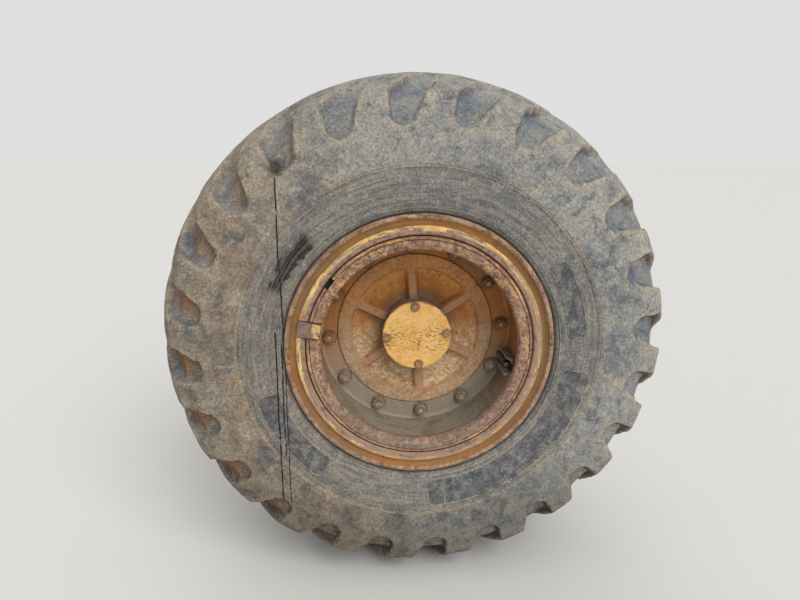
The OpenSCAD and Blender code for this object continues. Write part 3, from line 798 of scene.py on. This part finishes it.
def lean(out):
    """How far, in degrees, the grooves have turned where they are out from the centre plane."""
    def swept(run):
        run = np.clip(run, 0, 165) / FLOOR_RUN
        return np.degrees(np.arctan2(math.tan(GROOVE_LEAN) * run, GROOVE_BEND[0] + FLOOR_CLIMB * run))
    outer = -swept(GROOVE_BEND[1] - out)
    inner = swept(GROOVE_BEND[1] + out) - 1.5 * PITCH
    blend = np.clip((out + 50) / 100, 0, 1)
    return blend * outer + (1 - blend) * inner


def make_tyre(material):
    half = outer_section()

    def outboard(p):
        """Rows close together at the grooves and at the moulded ring, for the side that shows."""
        radius, out = p
        if radius < FLANGE_R + 4:
            return 15
        if radius < 583:
            return 3 if 478 < radius < 490 else 12
        if radius < 626 and out > HALF_TREAD:
            return 3.2
        return 5.2 if out > 60 else 16

    def inboard(p):
        radius, out = p
        if radius < FLANGE_R + 4:
            return 18
        return 22 if radius < 585 else (9.5 if out > 60 else 16)

    front = spaced(half, outboard)
    back = spaced(half, inboard)[::-1][1:] * np.array([1, -1])
    cavity = np.array([
        (SEAT_R + 14, -HALF_RIM + 50), (FLANGE_R - 5, -HALF_RIM + 18), (side(0.38), -HALF_W + 28),
        (side(0.76), -0.9 * HALF_TREAD), (TYRE_R - 66, 0), (side(0.76), 0.9 * HALF_TREAD),
        (side(0.38), HALF_W - 28), (FLANGE_R - 5, HALF_RIM - 18), (SEAT_R + 14, HALF_RIM - 50),
    ])
    skin = np.concatenate([front, back])
    offsets = column_angles()
    columns = LUGS * len(offsets)
    base_angle = (np.arange(LUGS)[:, None] * PITCH + offsets[None, :]).reshape(-1)
    radius = np.repeat(skin[:, 0], columns)
    out = np.repeat(skin[:, 1], columns)
    angle = np.tile(base_angle, len(skin)) + lean(out)
    # The cut goes inward from the tread and, below the shoulder, straight in from the side.
    slope = np.radians(48) * np.clip((np.abs(out) - 60) / 165, 0, 1) ** 1.5
    below = np.clip((SHOULDER_R - radius) / 80, 0, 1)
    slope = slope * (1 - below) + np.radians(90) * below
    inward = np.stack([-np.cos(slope), -np.sign(out) * np.sin(slope)], axis=1)

    def place(depth):
        return polar(radius + depth * inward[:, 0], angle, out + depth * inward[:, 1])

    soft = 1.6 + 0.6 * wander(place(0), 90, 3)
    ragged = 1.1 * wander(place(0), 34, 4)
    reach = np.where(radius > 540, 1, 0)

    def excess(depth):
        return smooth_max(groove_depth(place(depth)) - ragged, -depth, soft)

    depth = np.zeros(len(radius))
    last = excess(depth)
    found = last <= 0
    for step in np.arange(CUT_STEP, CUT_DEEPEST, CUT_STEP):
        value = excess(np.full(len(radius), step))
        crossing = ~found & (value <= 0)
        share = last[crossing] / np.maximum(last[crossing] - value[crossing], 1e-6)
        depth[crossing] = step - CUT_STEP + CUT_STEP * share
        found |= crossing
        last = value
    depth[~found] = CUT_DEEPEST
    depth *= reach
    gap = groove_depth(place(0))
    worn = swelling(place(depth)) * np.where(depth > 3, 0.4, 1)
    bare = place(depth + SKIN_INSET - worn)
    keep = radius < FLANGE_R + 4
    bare[keep] = place(np.zeros(len(radius)))[keep]
    bare[:, 2] = np.clip(bare[:, 2], -WIDEST, WIDEST)
    inner_out = np.repeat(cavity[:, 1], columns)
    inner_angle = np.tile(base_angle, len(cavity)) + lean(inner_out)
    lining = polar(np.repeat(cavity[:, 0], columns), inner_angle, inner_out)
    every = np.concatenate([bare, lining])
    turn = math.radians(TURN)
    x = every[:, 0] * math.cos(turn) - every[:, 1] * math.sin(turn)
    y = every[:, 0] * math.sin(turn) + every[:, 1] * math.cos(turn)
    vertices = np.stack([x, -(every[:, 2] + SET_OUT), y], axis=1)
    rows = len(skin) + len(cavity)
    made = piece("lug_tyre", vertices, grid_faces(rows, columns), material, "wheel", "tyre")
    side_of_groove = np.tile(offsets, LUGS * len(skin))
    # Of these masks, edge carries a painted highlight along each groove's mouth, and the last one a painted
    # shade just inside it.
    for name, mask in (
        ("cut", np.clip(depth / 30, 0, 1)),
        ("edge", np.clip(1 - np.abs(gap + 1.5) / 6, 0, 1) * reach),
        ("sheltered", np.clip(0.55 - side_of_groove / 5, 0, 1) * reach),
        ("crevice_shade", np.clip((gap - 1.5) / 3, 0, 1) * np.clip((15 - gap) / 8, 0, 1) * reach),
    ):
        add_mask(made, name, np.concatenate([mask, np.zeros(len(lining))]))


def swelling(points):
    """How far the worn sidewall stands out from its section, in millimetres."""
    worn = 1.1 * wander(points, 150, 5) + 0.5 * wander(points, 45, 6)
    radius = np.hypot(points[:, 0], points[:, 1])
    return worn * np.clip((radius - FLANGE_R - 6) / 30, 0, 1)


def sidewall_out(radius, angle):
    """Distance outboard of the outer sidewall's skin at a radius and angle."""
    section = outer_section()
    section = section[(section[:, 0] > FLANGE_R) & (section[:, 1] > HALF_TREAD)]
    flat = np.interp(radius, section[:, 0], section[:, 1])
    points = polar(radius, angle - TURN, flat)
    return np.minimum(flat - SKIN_INSET + swelling(points), WIDEST) + SET_OUT


# Moulded ridges: their profile, as (across, up), and the short radial ones, as (inner, outer radius, angle).
RIDGE = ((-2.4, -1), (-1.2, 1.5), (1.2, 1.5), (2.4, -1))
TICKS = ((432, 484, -57.5), (432, 484, -81), (500, 552, -56), (500, 548, -96),
         (500, 546, 30), (430, 482, 246))


def make_ridges(material):
    """Thin moulded ridges on the outer sidewall: two rings, the borders of blank panels and a few ticks."""
    paths = [(circle(495), True), (circle(384), True)]
    for low, high, start, end in PANELS:
        paths.append((panel(low, high, start, end, 14), True))
    for low, high, at in TICKS:
        paths.append((np.array([(r, at) for r in np.linspace(low, high, 9)]), False))
    vertices = []
    faces = []
    for path, closed in paths:
        start = len(vertices)
        count = len(path)
        flat = polar(path[:, 0], path[:, 1], np.zeros(count))[:, :2]
        ahead = np.roll(flat, -1, axis=0) - np.roll(flat, 1, axis=0)
        if not closed:
            ahead[0] = flat[1] - flat[0]
            ahead[-1] = flat[-1] - flat[-2]
        ahead /= np.linalg.norm(ahead, axis=1)[:, None]
        aside = np.stack([-ahead[:, 1], ahead[:, 0]], axis=1)
        for across, up in RIDGE:
            place = flat + across * aside
            r = np.hypot(place[:, 0], place[:, 1])
            a = np.degrees(np.arctan2(place[:, 1], place[:, 0]))
            vertices += to_frame(r, a, sidewall_out(r, a) + up).tolist()
        sides = [start + k * count for k in range(len(RIDGE))]
        for i in range(count if closed else count - 1):
            j = (i + 1) % count
            for here, after in zip(sides, sides[1:] + sides[:1]):
                faces.append((here + i, here + j, after + j, after + i))
        if not closed:
            faces.append(tuple(sides))
            faces.append(tuple(here + count - 1 for here in sides[::-1]))
    made = piece("sidewall_ridges", vertices, faces, material, "wheel")
    height = np.array(vertices)[:, 2]
    # Painted highlight on the ridges, stronger lower down.
    add_mask(made, "edge", 0.3 + 0.7 * np.clip((100 - height) / 300, 0, 1))


def circle(radius):
    return np.array([(radius, a) for a in np.linspace(0, 360, 360, endpoint=False)])


def panel(low, high, start, end, corner):
    """Outline of an oblong that bends round the wheel, with rounded corners, as (radius, angle)."""
    points = []
    middle = (low + high) / 2
    turn = math.degrees(corner / middle)
    for r, a, first in ((low + corner, start + turn, 90), (low + corner, end - turn, 180),
                        (high - corner, end - turn, 270), (high - corner, start + turn, 0)):
        for step in np.radians(np.linspace(first, first + 90, 7)):
            points.append((r + corner * math.cos(step), a - turn * math.sin(step)))
    return spread(np.array(points), 6)


def spread(points, spacing):
    """The closed outline with points added so that none is further than spacing millimetres from the next."""
    found = []
    for here, after in zip(points, np.roll(points, -1, axis=0)):
        length = math.hypot(after[0] - here[0], math.radians(after[1] - here[1]) * here[0])
        count = max(1, int(math.ceil(length / spacing)))
        found += [here + (after - here) * i / count for i in range(count)]
    return np.array(found)


def add_mask(made, name, values):
    made.data.attributes.new(name, "FLOAT", "POINT").data.foreach_set("value", values.astype(np.float32))


# Planetary housing: pans with rounded corners between the ribs, cast in one with the round nose.

def make_housing(material):
    bore_r, pan_r, nose_r = 232.7, 196, 99
    face = 369
    pan_depth = 30
    cap_back = 410.95
    rib_half = 9.5
    columns = 480
    angle = np.arange(columns) * 360 / columns
    radii = np.concatenate([[bore_r], np.linspace(bore_r - 2, 200, 7), np.linspace(198, 176, 14),
                            np.linspace(173, 116, 20), np.linspace(113.5, nose_r, 8)])
    r, t = np.meshgrid(radii, angle, indexing="ij")
    from_rib = np.mod(t, 60) - 30
    aside = np.abs(r * np.sin(np.radians(from_rib))) - rib_half
    inside = -smooth_max(-aside, r - pan_r, 15)
    floor = np.interp(r, [nose_r, nose_r + 7, nose_r + 18, pan_r - 16, pan_r],
                      [0.94, 1, 1, 0.60, 0.45])
    pan = np.clip(inside / 11, 0, 1)
    pan = pan * pan * (3 - 2 * pan)
    sunk = pan_depth * floor * pan
    sunk = np.where(r < nose_r + 6, sunk - 5 * pan * ((nose_r + 6 - r) / 6) ** 2, sunk)
    height = face - sunk - np.where(r > bore_r - 0.5, 2, 0)
    height = height + 0.5 * wander(polar(r, t, height).reshape(-1, 3), 60, 11).reshape(r.shape) - 0.6
    back = [(bore_r, 344), (213.6, 344), (213.6, 318.2), (0.5, 318.2)]
    nose = [(nose_r - 0.4, 372), (nose_r - 0.4, 390), (nose_r - 0.4, cap_back), (0.5, cap_back)]

    def rings(section):
        q, h = np.array(section).T[..., None] * np.ones(columns)
        return to_frame(q, np.broadcast_to(angle + TURN, q.shape), h)

    grid = np.concatenate([rings(back[::-1]), to_frame(r, t + TURN, height), rings(nose)])
    faces = grid_faces(len(grid), columns)
    made = piece("hub_housing", grid.reshape(-1, 3), faces, material, "wheel", "planetary_housing")
    add_mask(made, "pan", np.pad(pan, ((len(back), len(nose)), (0, 0))).reshape(-1))


# The construction's own pieces, with finishes and worn edges.

def dress(node, material, edge):
    """Give a node of the construction its material, and a worn edge of so many millimetres."""
    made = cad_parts[node]
    made.data.materials.clear()
    made.data.materials.append(material)
    if edge:
        bevel = made.modifiers.new("worn_edge", "BEVEL")
        bevel.width = edge * MM
        bevel.segments = 2
        bevel.limit_method = "ANGLE"
        bevel.angle_limit = math.radians(35)


# Floor and light.

def make_floor():
    mesh = bpy.data.meshes.new("floor")
    low = -(TYRE_R + 1.5) * MM
    size = 40.0
    corners = [(-size, -size, low), (size, -size, low), (size, size, low), (-size, size, low)]
    mesh.from_pydata(corners, [], [(0, 1, 2, 3)])
    floor = bpy.data.objects.new("floor", mesh)
    bpy.context.scene.collection.objects.link(floor)
    material = bpy.data.materials.new("floor")
    material.use_nodes = True
    shader = material.node_tree.nodes["Principled BSDF"]
    shader.inputs["Base Color"].default_value = (0.62, 0.62, 0.61, 1.0)
    shader.inputs["Roughness"].default_value = 0.95
    shader.inputs["Specular IOR Level"].default_value = 0.1
    mesh.materials.append(material)


def make_light():
    world = bpy.data.worlds.new("studio")
    bpy.context.scene.world = world
    world.use_nodes = True
    nodes = world.node_tree.nodes
    links = world.node_tree.links
    nodes.clear()
    choose = nodes.new("ShaderNodeMixShader")
    links.new(nodes.new("ShaderNodeLightPath").outputs["Is Camera Ray"], choose.inputs[0])
    links.new(choose.outputs[0], nodes.new("ShaderNodeOutputWorld").inputs[0])
    for socket, colour, strength in ((1, (0.95, 0.97, 1.0, 1.0), 0.40), (2, (0.74, 0.74, 0.74, 1.0), 1.0)):
        background = nodes.new("ShaderNodeBackground")
        background.inputs["Color"].default_value = colour
        background.inputs["Strength"].default_value = strength
        links.new(background.outputs[0], choose.inputs[socket])
    for name, aim, width, power in (
        ("key", (48, 0, 30), 35, 1.8),
        ("overhead", (12, 0, 0), 60, 0.8),
        ("fill", (80, 0, 12), 50, 0.7),
        ("back", (-58, 0, 8), 60, 0.8),
    ):
        lamp = bpy.data.lights.new(name, "SUN")
        lamp.angle = math.radians(width)
        lamp.energy = power
        lamp.color = (1.0, 0.97, 0.92)
        made = bpy.data.objects.new(name, lamp)
        made.rotation_euler = Euler([math.radians(a) for a in aim])
        bpy.context.scene.collection.objects.link(made)


make_camera()
make_floor()
make_light()
rubber = tyre_rubber()
make_tyre(rubber)
make_ridges(rubber)
make_housing(housing_paint())
flange = flange_rust()
bolts = bolt_iron()
axle = axle_paint()
for node, material, slot, edge in (
    ("outer_side_flange", flange, "rim_paint", 0),
    ("inner_side_flange", flange, "rim_paint", 0),
    ("bead_seat_band", seat_paint(), "rim_paint", 0),
    ("lock_ring", lock_paint(), "rim_paint", 0),
    ("driver_key", key_steel(), "bare_iron", 1.2),
    ("rim_base", rim_rust(), "rim_paint", 0),
    ("wheel_disc", disc_paint(), "rim_paint", 0),
    ("wheel_nuts", nut_iron(), "fasteners", 0.8),
    ("valve_guard", guard_iron(), "bare_iron", 0.8),
    ("valve_stem", valve_brass(), "valve_brass", 0.5),
    ("hub_cap", cap_paint(), "cap_paint", 0.8),
    ("cap_bolts", bolts, "fasteners", 0.8),
    ("hub", axle, "hub_paint", 0),
    ("brake_disc", brake_steel(), "bare_iron", 1.0),
    ("disc_bolts", bolts, "fasteners", 0.8),
    ("spindle", axle, "hub_paint", 0),
    ("caliper_bracket", axle, "hub_paint", 2.0),
    ("brake_caliper", axle, "hub_paint", 3.0),
    ("caliper_bolts", bolts, "fasteners", 1.0),
):
    dress(node, material, edge)
